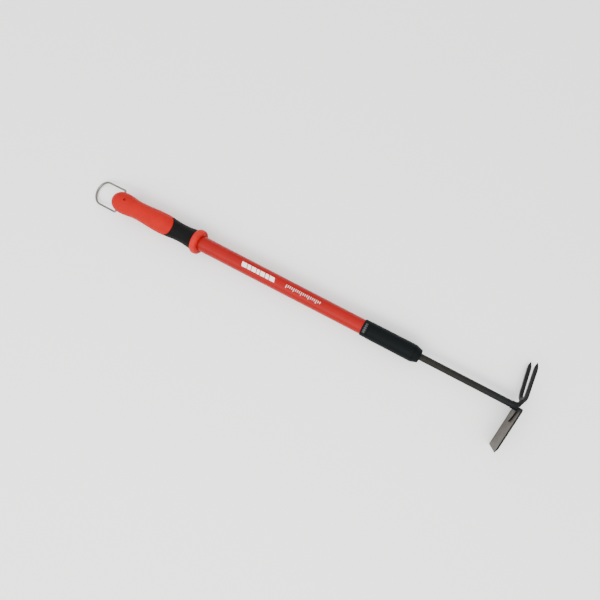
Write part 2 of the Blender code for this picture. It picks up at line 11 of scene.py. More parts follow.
import bmesh
import bpy
from bpy.props import FloatProperty, FloatVectorProperty, IntProperty, PointerProperty
from mathutils import Euler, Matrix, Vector


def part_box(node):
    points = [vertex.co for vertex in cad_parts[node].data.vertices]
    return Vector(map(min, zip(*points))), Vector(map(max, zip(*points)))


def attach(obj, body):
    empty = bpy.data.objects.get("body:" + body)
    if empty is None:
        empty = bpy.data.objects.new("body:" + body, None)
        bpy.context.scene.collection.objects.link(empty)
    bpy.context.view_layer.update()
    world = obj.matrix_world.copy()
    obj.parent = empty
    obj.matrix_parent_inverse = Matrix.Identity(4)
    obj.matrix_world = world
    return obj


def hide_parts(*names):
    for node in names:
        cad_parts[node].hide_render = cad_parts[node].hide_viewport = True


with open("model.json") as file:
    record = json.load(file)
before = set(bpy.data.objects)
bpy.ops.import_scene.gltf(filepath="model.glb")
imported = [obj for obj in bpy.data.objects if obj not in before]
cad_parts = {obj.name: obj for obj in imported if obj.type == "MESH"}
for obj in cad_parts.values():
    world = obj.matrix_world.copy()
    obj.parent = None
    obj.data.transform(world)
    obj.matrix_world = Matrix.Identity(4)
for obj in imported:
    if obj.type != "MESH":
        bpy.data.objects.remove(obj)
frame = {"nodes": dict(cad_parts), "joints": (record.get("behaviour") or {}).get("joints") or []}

bl_info = {
    "name": "Stand up weeder",
    "version": (1, 0, 0),
    "blender": (4, 5, 0),
    "location": "3D View > Sidebar > Weeder",
    "description": "Builds a two-sided weeding hoe with its materials, light and camera",
    "category": "Add Mesh",
}

MM = 0.001
MERGE_DISTANCE = 0.001 * MM
SHARP_ANGLE = radians(38)
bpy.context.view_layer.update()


def span(node):
    """Lowest and highest station, and the largest radius, of a solid that is turned about the tool's axis."""
    low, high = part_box(node)
    return low.x - AXIS.x, high.x - AXIS.x, (high.z - low.z) / 2


TUBE_LOW, TUBE_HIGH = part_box("tube")
AXIS = Vector((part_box("grip_body")[0].x, (TUBE_LOW.y + TUBE_HIGH.y) / 2, (TUBE_LOW.z + TUBE_HIGH.z) / 2))
TUBE_START, TUBE_END, TUBE_R = span("tube")
BODY_START, BODY_END, BODY_R = span("grip_body")
SLEEVE_START, SLEEVE_END, SLEEVE_R = span("grip_black_sleeve")
FLANGE_START, FLANGE_END, FLANGE_R = span("grip_flange")
FERRULE_START, FERRULE_END, FERRULE_R = span("ferrule_body")
NOSE_START, NOSE_END, NOSE_R = span("ferrule_nose")
ROD_START, ROD_END, ROD_R = span("rod")
HUB_START, HUB_END, HUB_R = span("head_hub")
SWING = next(joint for joint in frame["joints"] if joint["name"] == "bail_swing")
PIVOT = Vector(SWING["pos_m"])
WIRE_R = 1.7 * MM
BAIL_LEG = 42.1 * MM
BAIL_HALF_WIDTH = (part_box("bail")[1].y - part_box("bail")[0].y) / 2 - WIRE_R

# Fits between the pieces
TOUCH = 0.3 * MM
TUBE_WALL = 1.3 * MM
BORE_R = TUBE_R + TOUCH
ROD_BORE_R = ROD_R + TOUCH
RIM_R = BORE_R + 1.3 * MM

# Grip outline between the solids' ends: station and thickness over the tube
BULB = (18.6 * MM, BORE_R + 4.5 * MM)
WAIST = (45.0 * MM, BORE_R + 2.0 * MM)
BELLY = (89.0 * MM, BORE_R + 4.4 * MM)
NECK = (125.5 * MM, BORE_R + 1.8 * MM)
GRIP_END = (SLEEVE_END + TOUCH, BORE_R + 4.6 * MM)
DOME_POWER = 2.3
CLOSED_END = 7.0 * MM
NOSE_LENGTH = 11.8 * MM
NOSE_HALF_WIDTH = 15.0 * MM
SPLIT = BODY_END - NOSE_LENGTH

# Head: leaning plates whose inner faces meet the rod's end
BLADE_LEAN = radians(5.6)
FORK_LEAN = radians(9.7)
BLADE_THICKNESS = 3.0 * MM
FORK_THICKNESS = 7.0 * MM
FOOT = 2.4 * MM
GUSSET_THICKNESS = 2.2 * MM
EDGE_SLANT = 2.2 * MM
SWELL = 0.12 * MM
HEAD_X = HUB_START + 12.0 * MM


# Colours that the panel doesn't show
BARE_METAL = "#6B6862"
RUBBED_FILM = "#5E5450"
FERRULE_INK = "#45494B"
BROWNED = "#74201A"


def linear(code):
    """Linear colour from an sRGB hex value."""
    channels = []
    for i in (1, 3, 5):
        share = int(code[i : i + 2], 16) / 255
        channels.append(share / 12.92 if share <= 0.04045 else ((share + 0.055) / 1.055) ** 2.4)
    return (*channels, 1.0)


def colour_property(name, description, code):
    return FloatVectorProperty(
        name=name, description=description, default=linear(code), subtype="COLOR", size=4, min=0.0, max=1.0
    )


def amount_property(name, description, default, unit="LENGTH"):
    return FloatProperty(name=name, description=description, default=default, unit=unit, min=0.0)


# ---------------------------------------------------------------- settings


class GripSettings(bpy.types.PropertyGroup):
    red: colour_property("Red", "Colour of the soft red body", "#A50A05")
    black: colour_property("Black", "Colour of the soft black sleeve", "#0E0F0E")
    flange: colour_property("Flange", "Colour of the hand guard", "#AE140E")
    grain: amount_property("Grain", "Size of the moulded grain", 1.1 * MM)
    steps: IntProperty(name="Steps", description="Facets round the grip", default=128, min=16)


class HandleSettings(bpy.types.PropertyGroup):
    paint: colour_property("Paint", "Colour of the tube's powder coat", "#8C0705")
    ink: colour_property("Ink", "Colour of the printed marks", "#F4F0EA")
    plastic: colour_property("Plastic", "Colour of the ferrule", "#0A0E0F")
    steps: IntProperty(name="Steps", description="Facets round the tube", default=112, min=16)


class HeadSettings(bpy.types.PropertyGroup):
    lacquer: colour_property("Lacquer", "Colour of the lacquered steel", "#101214")
    # Painted sheen: the warm brown on the rod near the ferrule.
    rod_sheen: colour_property("Rod sheen", "Colour of the painted warm sheen on the rod near the ferrule", "#1B1914")
    steel: colour_property("Steel", "Colour of the rolled blade steel", "#453F37")
    edge: colour_property("Edge", "Colour of the ground edge", "#5A554E")


class BailSettings(bpy.types.PropertyGroup):
    zinc: colour_property("Zinc", "Colour of the plated wire", "#77746F")
    sides: IntProperty(name="Sides", description="Facets round the wire", default=24, min=8)


class StageSettings(bpy.types.PropertyGroup):
    floor: colour_property("Floor", "Colour of the pale floor", "#F6F6F5")
    key: amount_property("Key", "Power of the large soft light", 18.0, "POWER")
    fill: amount_property("Fill", "Power of the fill light", 6.0, "POWER")
    dome: amount_property("Dome", "Strength of the soft overhead dome", 2.65, "NONE")
    height: amount_property("Camera height", "Camera's height over the tool's axis", 752 * MM)
    focal: FloatProperty(name="Focal length", description="Lens in millimetres", default=27.35, unit="CAMERA")


# ---------------------------------------------------------------- materials


def add_node(tree, kind, inputs=None, **settings):
    """Adds a node, sets its properties, and sets or links its inputs: a link is a (node, output) pair."""
    node = tree.nodes.new(kind)
    for key, value in settings.items():
        setattr(node, key, value)
    for key, value in (inputs or {}).items():
        if isinstance(value, tuple) and isinstance(value[0], bpy.types.Node):
            tree.links.new(value[0].outputs[value[1]], node.inputs[key])
        else:
            node.inputs[key].default_value = value
    return node


def new_material(name, **constants):
    """A material, its nodes, its Principled shader with constants on its own sockets, and its coordinates."""
    material = bpy.data.materials.new(name)
    material.use_nodes = True
    shader = material.node_tree.nodes["Principled BSDF"]
    for key, value in constants.items():
        shader.inputs[key.replace("_", " ")].default_value = value
    place = (add_node(material.node_tree, "ShaderNodeTexCoord"), "Object")
    return material, material.node_tree, shader, place


def colour_ramp(tree, source, stops):
    """Colours or greys along a 0 to 1 value. Each stop is (position, colour)."""
    ramp = add_node(tree, "ShaderNodeValToRGB", {"Fac": source})
    elements = ramp.color_ramp.elements
    while len(elements) < len(stops):
        elements.new(0.5)
    for element, (position, colour) in zip(elements, stops):
        element.position = position
        element.color = colour
    return ramp


def dress(tree, shader, colour, rough, relief):
    """Gives the shader a colour, a roughness (pattern, low, high) and a bump (pattern, depth, strength)."""
    tree.links.new(colour[0].outputs[colour[1]], shader.inputs["Base Color"])
    if rough:
        value, low, high = rough
        spread = add_node(tree, "ShaderNodeMapRange", {"Value": value, "To Min": low, "To Max": high})
        tree.links.new(spread.outputs[0], shader.inputs["Roughness"])
    if relief:
        height, depth, strength = relief
        bump = add_node(tree, "ShaderNodeBump", {"Height": height, "Distance": depth, "Strength": strength})
        tree.links.new(bump.outputs[0], shader.inputs["Normal"])


# Settings of a mix node: one colour over another, and one colour times another
OVER = {"data_type": "RGBA"}
TIMES = {"data_type": "RGBA", "blend_type": "MULTIPLY"}


def grey(value):
    return (value, value, value, 1.0)


def shade(colour, factor):
    return tuple(min(1.0, channel * factor) for channel in colour[:3]) + (1.0,)


def soft_touch_rubber(name, colour, grain, specular=0.12):
    """Thermoplastic elastomer from a spark-eroded mould: a dull, even surface with a fine grain.

    The real grain is about 0.3 mm. It is drawn coarser so that it shows.
    """
    material, tree, shader, place = new_material(name, IOR=1.48, Specular_IOR_Level=specular)
    cloud = add_node(tree, "ShaderNodeTexNoise", {"Vector": place, "Scale": 1 / (28 * MM), "Detail": 3.0})
    tint = colour_ramp(tree, (cloud, "Fac"), [(0.35, shade(colour, 0.93)), (0.65, shade(colour, 1.05))])
    pores = add_node(tree, "ShaderNodeTexVoronoi", {"Vector": place, "Scale": 1 / grain})
    darker = colour_ramp(tree, (pores, "Distance"), [(0.0, grey(1.0)), (0.75, grey(0.9))])
    speckle = add_node(
        tree, "ShaderNodeMix", {"Factor": 1.0, 6: (tint, "Color"), 7: (darker, "Color")}, **TIMES
    )
    fine = add_node(tree, "ShaderNodeTexNoise", {"Vector": place, "Scale": 2.2 / grain, "Detail": 2.0})
    relief = add_node(
        tree, "ShaderNodeMath", {0: (pores, "Distance"), 1: (fine, "Fac")}, operation="SUBTRACT"
    )
    parted = parting_line(tree, place, relief)
    dress(tree, shader, (speckle, 2), ((cloud, "Fac"), 0.52, 0.68), ((parted, 0), 0.10 * MM, 0.5))
    return material


def parting_line(tree, place, relief):
    """Adds the mould's parting line, a hair-thin ridge along both sides, to a relief."""
    axes = add_node(tree, "ShaderNodeSeparateXYZ", {"Vector": place})
    away = add_node(tree, "ShaderNodeMath", {0: (axes, "Z")}, operation="ABSOLUTE")
    ridge = add_node(
        tree, "ShaderNodeMapRange", {"Value": (away, 0), "From Max": 0.35 * MM, "To Min": 1.6, "To Max": 0.0}
    )
    return add_node(tree, "ShaderNodeMath", {0: (relief, 0), 1: (ridge, 0)}, operation="ADD")


def moulded_plastic(name, colour, roughness, specular, grain=0.9 * MM):
    """Polypropylene or filled nylon from an etched mould: satin, with faint flow marks along the part."""
    material, tree, shader, place = new_material(name, IOR=1.49, Specular_IOR_Level=specular)
    stretched = add_node(tree, "ShaderNodeMapping", {"Vector": place, "Scale": (0.25, 1.0, 1.0)})
    flow = add_node(
        tree, "ShaderNodeTexNoise", {"Vector": (stretched, 0), "Scale": 1 / (5 * MM), "Detail": 4.0}
    )
    tint = colour_ramp(tree, (flow, "Fac"), [(0.3, shade(colour, 0.9)), (0.7, shade(colour, 1.1))])
    etch = add_node(tree, "ShaderNodeTexNoise", {"Vector": place, "Scale": 1 / grain, "Detail": 3.0})
    rough = ((flow, "Fac"), roughness - 0.07, roughness + 0.08)
    dress(tree, shader, (tint, 0), rough, ((etch, "Fac"), 0.06 * MM, 0.5))
    return material


def powder_coat(name, colour):
    """Polyester powder coat on drawn steel tube: satin, with a low orange peel of about 3 mm."""
    material, tree, shader, place = new_material(
        name, IOR=1.5, Specular_IOR_Level=0.12, Coat_Weight=0.04, Coat_Roughness=0.25, Coat_IOR=1.5
    )
    cloud = add_node(tree, "ShaderNodeTexNoise", {"Vector": place, "Scale": 1 / (35 * MM), "Detail": 2.0})
    tint = colour_ramp(tree, (cloud, "Fac"), [(0.3, shade(colour, 0.94)), (0.7, shade(colour, 1.05))])
    peel = add_node(tree, "ShaderNodeTexNoise", {"Vector": place, "Scale": 1 / (3 * MM), "Detail": 1.0})
    fine = add_node(tree, "ShaderNodeTexNoise", {"Vector": place, "Scale": 1 / (0.7 * MM), "Detail": 2.0})
    height = add_node(
        tree, "ShaderNodeMath", {0: (fine, "Fac"), 1: 0.25, 2: (peel, "Fac")}, operation="MULTIPLY_ADD"
    )
    dress(tree, shader, (tint, 0), ((fine, "Fac"), 0.34, 0.5), ((height, 0), 0.12 * MM, 0.35))
    return material


def printing_ink(name, colour):
    """Pad-printed ink: a thin matt film with a slightly uneven edge and cover."""
    material, tree, shader, place = new_material(name, IOR=1.5, Roughness=0.55)
    cover = add_node(tree, "ShaderNodeTexNoise", {"Vector": place, "Scale": 1 / (1.5 * MM), "Detail": 4.0})
    tint = colour_ramp(tree, (cover, "Fac"), [(0.3, shade(colour, 0.86)), (0.6, colour)])
    dress(tree, shader, (tint, 0), None, ((cover, "Fac"), 0.03 * MM, 0.4))
    return material


def lacquered_steel(name, lacquer, worn=-0.02, rubbed=0.0, sheen=None, sheen_from=0.0, sheen_to=1.0):
    """Steel under a thin dark lacquer, worn to bright metal in scratches.

    With a sheen colour, a painted warm sheen runs from it into the lacquer's colour between two stations. Worn is
    the share of the surface rubbed through.
    Rubbed is the height in the piece's own z where use has dulled the film to a pinkish grey.
    """
    material, tree, shader, place = new_material(name, Specular_IOR_Level=0.12)
    axes = add_node(tree, "ShaderNodeSeparateXYZ", {"Vector": place})
    along = add_node(
        tree, "ShaderNodeMapRange", {"Value": (axes, "X"), "From Min": sheen_from, "From Max": sheen_to}
    )
    # Painted sheen: the film's colour runs from the sheen colour into the lacquer's along x.
    film = colour_ramp(tree, (along, 0), [(0.0, sheen or lacquer), (1.0, lacquer)])
    patches = add_node(tree, "ShaderNodeTexNoise", {"Vector": place, "Scale": 1 / (6 * MM), "Detail": 5.0})
    cloudy = colour_ramp(tree, (patches, "Fac"), [(0.3, grey(0.78)), (0.72, grey(1.25))])
    tinted = add_node(
        tree, "ShaderNodeMix", {"Factor": 1.0, 6: (film, "Color"), 7: (cloudy, "Color")}, **TIMES
    )
    drawn = add_node(tree, "ShaderNodeMapping", {"Vector": place, "Scale": (0.06, 1.0, 1.0)})
    lines = add_node(
        tree, "ShaderNodeTexNoise", {"Vector": (drawn, 0), "Scale": 1 / (0.9 * MM), "Detail": 4.0}
    )
    scratch = colour_ramp(tree, (lines, "Fac"), [(0.72 - worn, grey(0.0)), (0.80 - worn, grey(1.0))])
    bare = add_node(
        tree, "ShaderNodeMix", {"Factor": (scratch, "Color"), 6: (tinted, 2), 7: linear(BARE_METAL)}, **OVER
    )
    if rubbed:
        uneven = add_node(
            tree,
            "ShaderNodeMath",
            {0: (patches, "Fac"), 1: 1.2 * MM, 2: (axes, "Z")},
            operation="MULTIPLY_ADD",
        )
        side = add_node(
            tree,
            "ShaderNodeMapRange",
            {"Value": (uneven, 0), "From Min": rubbed, "From Max": rubbed + 0.6 * MM, "To Max": 0.85},
        )
        above = add_node(
            tree, "ShaderNodeMapRange", {"Value": (axes, "Y"), "From Min": 13 * MM, "From Max": 20 * MM}
        )
        both = add_node(tree, "ShaderNodeMath", {0: (side, 0), 1: (above, 0)}, operation="MULTIPLY")
        bare = add_node(
            tree, "ShaderNodeMix", {"Factor": (both, 0), 6: (bare, 2), 7: linear(RUBBED_FILM)}, **OVER
        )
    metal = add_node(tree, "ShaderNodeMapRange", {"Value": (scratch, "Color"), "To Max": 0.9})
    tree.links.new(metal.outputs[0], shader.inputs["Metallic"])
    dress(tree, shader, (bare, 2), ((patches, "Fac"), 0.42, 0.62), ((lines, "Fac"), 0.06 * MM, 0.4))
    return material


def rolled_blade_steel(name, steel, edge, lacquer, edge_height, dark_top_height, slope=0.0):
    """Hardened strip steel: brown-grey from the furnace, with rolling lines and a brighter ground edge.

    The plate's top is darkened to the lacquer's colour down to a ragged line. Heights are in the plate's own
    frame, and the edge falls by the slope across the blade.
    """
    material, tree, shader, place = new_material(name)
    rolled = add_node(tree, "ShaderNodeMapping", {"Vector": place, "Scale": (1.0, 0.07, 1.0)})
    lines = add_node(
        tree, "ShaderNodeTexNoise", {"Vector": (rolled, 0), "Scale": 1 / (1.6 * MM), "Detail": 5.0}
    )
    stained = add_node(tree, "ShaderNodeTexNoise", {"Vector": place, "Scale": 1 / (14 * MM), "Detail": 5.0})
    stops = [(0.30, shade(steel, 0.85)), (0.48, steel), (0.70, shade(steel, 1.2))]
    stain = colour_ramp(tree, (stained, "Fac"), stops)
    streak = colour_ramp(tree, (lines, "Fac"), [(0.32, grey(0.82)), (0.68, grey(1.16))])
    faces = add_node(
        tree, "ShaderNodeMix", {"Factor": 1.0, 6: (stain, "Color"), 7: (streak, "Color")}, **TIMES
    )
    axes = add_node(tree, "ShaderNodeSeparateXYZ", {"Vector": place})
    level = add_node(
        tree, "ShaderNodeMath", {0: (axes, "X"), 1: slope, 2: (axes, "Y")}, operation="MULTIPLY_ADD"
    )
    near_edge = add_node(
        tree,
        "ShaderNodeMapRange",
        {
            "Value": (level, 0),
            "From Min": edge_height,
            "From Max": edge_height + 1.5 * MM,
            "To Min": 1.0,
            "To Max": 0.0,
        },
    )
    ground = add_node(tree, "ShaderNodeMix", {"Factor": (near_edge, 0), 6: (faces, 2), 7: edge}, **OVER)
    # The top of the plate is darkened to the lacquer's colour down to a ragged line, and is not metallic there.
    ragged = add_node(
        tree, "ShaderNodeMath", {0: (stained, "Fac"), 1: 6 * MM, 2: (axes, "Y")}, operation="MULTIPLY_ADD"
    )
    dark_top_mask = add_node(
        tree,
        "ShaderNodeMapRange",
        {"Value": (ragged, 0), "From Min": dark_top_height, "From Max": dark_top_height + 1.5 * MM},
    )
    painted = add_node(tree, "ShaderNodeMix", {"Factor": (dark_top_mask, 0), 6: (ground, 2), 7: lacquer}, **OVER)
    metal = add_node(tree, "ShaderNodeMapRange", {"Value": (dark_top_mask, 0), "To Min": 0.7, "To Max": 0.0})
    tree.links.new(metal.outputs[0], shader.inputs["Metallic"])
    dress(tree, shader, (painted, 2), ((lines, "Fac"), 0.38, 0.62), ((lines, "Fac"), 0.08 * MM, 0.45))
    return material


def zinc_plated_steel(name, colour, grain=1.2 * MM):
    """Drawn steel with a dulled zinc plate: a satin metal with cloudy spangle."""
    material, tree, shader, place = new_material(name, Metallic=1.0)
    cloud = add_node(tree, "ShaderNodeTexNoise", {"Vector": place, "Scale": 1 / (4 * MM), "Detail": 4.0})
    tint = colour_ramp(tree, (cloud, "Fac"), [(0.3, shade(colour, 0.78)), (0.7, shade(colour, 1.08))])
    fine = add_node(tree, "ShaderNodeTexNoise", {"Vector": place, "Scale": 1 / grain, "Detail": 3.0})
    dress(tree, shader, (tint, 0), ((cloud, "Fac"), 0.24, 0.44), ((fine, "Fac"), 0.04 * MM, 0.4))
    return material


def matt_paper(name, colour):
    """A pale paper sweep: matt, with a faint tooth."""
    material, tree, shader, place = new_material(name, IOR=1.45, Roughness=0.95, Specular_IOR_Level=0.1)
    tooth = add_node(tree, "ShaderNodeTexNoise", {"Vector": place, "Scale": 1 / (8 * MM), "Detail": 4.0})
    tint = colour_ramp(tree, (tooth, "Fac"), [(0.3, shade(colour, 0.995)), (0.7, colour)])
    dress(tree, shader, (tint, 0), None, None)
    return material


# ---------------------------------------------------------------- shape tools


def place_object(name, mesh, material, location=AXIS, rotation=(0.0, 0.0, 0.0)):
    made = bpy.data.objects.new(name, mesh)
    bpy.context.scene.collection.objects.link(made)
    made.location = location
    made.rotation_euler = rotation
    if material:
        made.data.materials.append(material)
    return made


def plain_mesh(name, shape):
    mesh = bpy.data.meshes.new(name)
    shape.to_mesh(mesh)
    shape.free()
    return mesh


def smooth_mesh(name, shape):
    """A mesh with its faces turned outwards, smooth apart from its sharp edges."""
    bmesh.ops.recalc_face_normals(shape, faces=shape.faces)
    mesh = plain_mesh(name, shape)
    mesh.shade_smooth()
    mesh.set_sharp_from_angle(angle=SHARP_ANGLE)
    return mesh


def stand_for(piece, node, body="tool"):
    """The piece takes the place of a solid and moves with its body."""
    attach(piece, body)
    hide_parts(node)
    return piece


def mesh_from_rings(name, rings, loop=False):
    """Quads between rings of points. A loop joins the last ring to the first, or else both ends close."""
    shape = bmesh.new()
    made = [[shape.verts.new(point) for point in ring] for ring in rings]
    count = len(made[0])
    pairs = list(zip(made, made[1:] + made[:1])) if loop else list(zip(made, made[1:]))
    for first, second in pairs:
        for i in range(count):
            j = (i + 1) % count
            shape.faces.new((first[i], first[j], second[j], second[i]))
    if not loop:
        shape.faces.new(made[0])
        shape.faces.new(list(reversed(made[-1])))
    bmesh.ops.remove_doubles(shape, verts=shape.verts, dist=MERGE_DISTANCE)
    bmesh.ops.dissolve_degenerate(shape, edges=shape.edges, dist=MERGE_DISTANCE / 10)
    return smooth_mesh(name, shape)


def ring(station, radius, steps):
    return [
        (station, radius * cos(2 * pi * i / steps), radius * sin(2 * pi * i / steps)) for i in range(steps)
    ]


def softened(profile, size, count=3):
    """Rounds the corners of a closed profile by a small size, kept under half of each side."""
    points = []
    total = len(profile)
    for i in range(total):
        here = Vector(profile[i])
        before = Vector(profile[i - 1])
        after = Vector(profile[(i + 1) % total])
        if here.y == 0.0:
            points.append(tuple(here))
            continue
        back = min(size, (before - here).length * 0.45)
        ahead = min(size, (after - here).length * 0.45)
        start = here + (before - here).normalized() * back
        end = here + (after - here).normalized() * ahead
        for k in range(count + 1):
            t = k / count
            points.append(tuple(start * (1 - t) ** 2 + here * 2 * t * (1 - t) + end * t**2))
    return points


def turned(name, profile, steps, loop=True):
    """A mesh turned about the tool's axis from (station, radius) points."""
    return mesh_from_rings(name, [ring(x, max(r, 0.0), steps) for x, r in profile], loop)


def arc(centre, radius, start, end, count):
    """Points of an arc, with its angles in degrees and its ends included."""
    points = []
    for i in range(count + 1):
        angle = radians(start + (end - start) * i / count)
        points.append((centre[0] + radius * cos(angle), centre[1] + radius * sin(angle)))
    return points


def bar(name, radius, length, centre, rotation, steps=32):
    """A hidden cutter: a plain round bar."""
    shape = bmesh.new()
    bmesh.ops.create_cone(shape, cap_ends=True, segments=steps, radius1=radius, radius2=radius, depth=length)
    return place_object(name, plain_mesh(name, shape), None, centre, rotation)


def bake_modifiers(piece):
    """Replaces the piece's mesh by its finished shape, with no modifiers left."""
    bpy.context.view_layer.update()
    graph = bpy.context.evaluated_depsgraph_get()
    finished = bpy.data.meshes.new_from_object(piece.evaluated_get(graph))
    piece.modifiers.clear()
    old = piece.data
    piece.data = finished
    bpy.data.meshes.remove(old)
    piece.data.shade_smooth()
    piece.data.set_sharp_from_angle(angle=SHARP_ANGLE)


def combine(piece, others, operation):
    """Cuts or joins helper objects into the piece and removes them."""
    for other in others:
        boolean = piece.modifiers.new(other.name, "BOOLEAN")
        boolean.object = other
        boolean.operation = operation
        boolean.solver = "EXACT"
    bake_modifiers(piece)
    for other in others:
        old = other.data
        bpy.data.objects.remove(other)
        bpy.data.meshes.remove(old)


def bevel_edges(piece, width, segments=3, angle=radians(30)):
    bevel = piece.modifiers.new("edges", "BEVEL")
    bevel.width = width
    bevel.segments = segments
    bevel.limit_method = "ANGLE"
    bevel.angle_limit = angle
    bake_modifiers(piece)


# ---------------------------------------------------------------- grip


def blend(first, second, share):
    """Runs smoothly from one value to the next, level at both ends."""
    return first + (second - first) * (1 - cos(pi * share)) / 2


def grip_radius(x):
    """The grip's outer radius at a station."""
    if x <= BULB[0]:
        share = (BULB[0] - x) / BULB[0]
        return BULB[1] * sqrt(max(0.0, 1 - share**DOME_POWER))
    for first, second in ((BULB, WAIST), (WAIST, BELLY), (BELLY, NECK)):
        if x <= second[0]:
            return blend(first[1], second[1], (x - first[0]) / (second[0] - first[0]))
    share = min(1.0, (x - NECK[0]) / (GRIP_END[0] - NECK[0]))
    return NECK[1] + (GRIP_END[1] - NECK[1]) * (1 - cos(pi / 2 * share))


def nose_station(angle):
    """Where the red body ends at an angle round the axis: an elliptical nose on top and below."""
    x = SPLIT
    for _ in range(12):
        across = grip_radius(x) * abs(cos(angle))
        share = min(1.0, across / NOSE_HALF_WIDTH)
        x = SPLIT + NOSE_LENGTH * sqrt(1 - share * share)
    return x


def grip_ring(steps, station_at, drop=0.0, radius=None):
    """A ring of grip points whose station depends on the angle. Drop sinks it below the grip's outline."""
    points = []
    for i in range(steps):
        angle = 2 * pi * i / steps
        x = station_at(angle)
        r = grip_radius(x) - drop if radius is None else radius
        points.append((x, r * cos(angle), r * sin(angle)))
    return points


def body_mesh(steps):
    """The red body: a domed, closed sleeve that ends in a rounded lip along the nose."""
    ends = {2 * pi * i / steps: nose_station(2 * pi * i / steps) for i in range(steps)}
    rings = []
    for i in range(1, 27):
        x = BULB[0] * (1 - cos(pi / 2 * i / 26))
        rings.append(ring(x, grip_radius(x), steps))
    length_steps = 64
    for i in range(1, length_steps + 1):
        share = i / length_steps
        rings.append(grip_ring(steps, lambda a: BULB[0] + (ends[a] - 0.8 * MM - BULB[0]) * share))
    for back, drop in ((0.45, 0.04), (0.2, 0.14), (0.05, 0.32), (0.0, 0.55)):
        rings.append(grip_ring(steps, lambda a: ends[a] - back * MM, drop * MM))
    rings.append(grip_ring(steps, lambda a: ends[a], radius=BORE_R))
    rings.append(ring(CLOSED_END, BORE_R, steps))
    rings.append(ring(CLOSED_END, BORE_R * 0.4, steps))
    return mesh_from_rings("grip_body", rings)


def sleeve_mesh(steps):
    """The black sleeve: it starts along the red nose, with a lip, and ends at the flange."""
    starts = {2 * pi * i / steps: nose_station(2 * pi * i / steps) + TOUCH for i in range(steps)}
    rings = []
    for ahead, drop in ((0.0, 0.55), (0.05, 0.32), (0.2, 0.14), (0.45, 0.04)):
        rings.append(grip_ring(steps, lambda a: starts[a] + ahead * MM, drop * MM))
    length_steps = 48
    first = 0.8 * MM
    last = SLEEVE_END - 0.3 * MM
    for i in range(length_steps + 1):
        share = i / length_steps
        rings.append(grip_ring(steps, lambda a: starts[a] + first + (last - starts[a] - first) * share))
    rings.append(ring(SLEEVE_END, grip_radius(SLEEVE_END) - 0.3 * MM, steps))
    rings.append(ring(SLEEVE_END, BORE_R, steps))
    rings.append(grip_ring(steps, lambda a: starts[a], radius=BORE_R))
    return mesh_from_rings("grip_black_sleeve", rings, loop=True)


def flange_profile():
    """The hand guard: a thick rounded rim, a dished front face and a low collar at the tube."""
    edge = 3.5 * MM
    rim = FLANGE_R - edge
    dish = 0.9 * MM
    back_r = GRIP_END[1] - 0.4 * MM
    front = [
        (FLANGE_END - 0.4 * MM, BORE_R),
        (FLANGE_END, BORE_R + 0.3 * MM),
        (FLANGE_END, BORE_R + 0.9 * MM),
        (FLANGE_END - dish, BORE_R + 1.6 * MM),
        (FLANGE_END - dish, rim - 1.2 * MM),
    ]
    outside = arc((FLANGE_END - edge, rim), edge, 0, 90, 10)
    outside += arc((FLANGE_START + edge, rim), edge, 90, 180, 10)
    return front + outside + [(FLANGE_START, back_r), (FLANGE_START, BORE_R)]


def screw_place():
    """Centre line of the grip screw, and the height of the grip's surface there."""
    low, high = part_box("grip_screw")
    centre = (low + high) / 2
    across = centre.y - AXIS.y
    surface = AXIS.z + sqrt(grip_radius(centre.x - AXIS.x) ** 2 - across**2)
    return centre, low.z, high.z, surface


def screw_mesh(low, high):
    """A small pan head screw with a cross recess, standing along z about its own origin at the head's top."""
    head_r = 1.8 * MM
    head = 1.4 * MM
    shank = 1.2 * MM
    length = high - low
    profile = [(0.0, 0.0), (0.0, 0.8 * MM), (-0.15 * MM, 1.4 * MM), (-0.45 * MM, head_r), (-head, head_r)]
    profile.append((-head, shank))
    pitch = 0.9 * MM
    x = -head - 0.3 * MM
    while x > -length + 1.4 * MM:
        profile += [(x, shank), (x - pitch / 2, shank - 0.25 * MM)]
        x -= pitch
    profile += [(-length + MM, shank - 0.2 * MM), (-length, 0.0)]
    rings = [[(r * cos(2 * pi * i / 32), r * sin(2 * pi * i / 32), z) for i in range(32)] for z, r in profile]
    return mesh_from_rings("grip_screw", rings)


def cross_cutters(place):
    """Two crossed wedges that cut the screw's recess."""
    made = []
    for turn in (0.0, pi / 2):
        shape = bmesh.new()
        bmesh.ops.create_cube(shape, size=1.0)
        bmesh.ops.scale(shape, verts=shape.verts, vec=(2.0 * MM, 0.45 * MM, 1.4 * MM))
        made.append(place_object("recess", plain_mesh("recess", shape), None, place, (0.0, 0.0, turn + 0.4)))
    return made


class WEEDER_OT_grip(bpy.types.Operator):
    """Builds the red body, the black sleeve and the flange, each one a sleeve on the tube"""

    bl_idname = "weeder.grip"
    bl_label = "Grip"

    def execute(self, context):
        settings = context.scene.weeder_grip
        red = soft_touch_rubber("red soft-touch elastomer, moulded", settings.red, settings.grain)
        black = soft_touch_rubber("black soft-touch elastomer, moulded", settings.black, settings.grain, 0.06)
        plastic = moulded_plastic("red polypropylene, moulded", settings.flange, 0.48, 0.12)
        body = place_object("grip_body_skin", body_mesh(settings.steps), red)
        hole = bar("bail_hole", WIRE_R + TOUCH, 3 * BODY_R, PIVOT, (pi / 2, 0.0, 0.0))
        centre, _, _, surface = screw_place()
        middle = (centre.x, centre.y, surface + 0.6 * MM)
        recess = bar("screw_recess", 1.95 * MM, 6 * MM, middle, (0.0, 0.0, 0.0))
        combine(body, [hole, recess], "DIFFERENCE")
        stand_for(body, "grip_body")
        sleeve = place_object("grip_sleeve_skin", sleeve_mesh(settings.steps), black)
        stand_for(sleeve, "grip_black_sleeve")
        mesh = turned("grip_flange", softened(flange_profile(), 0.3 * MM), settings.steps)
        stand_for(place_object("grip_flange_skin", mesh, plastic), "grip_flange")
        return {"FINISHED"}


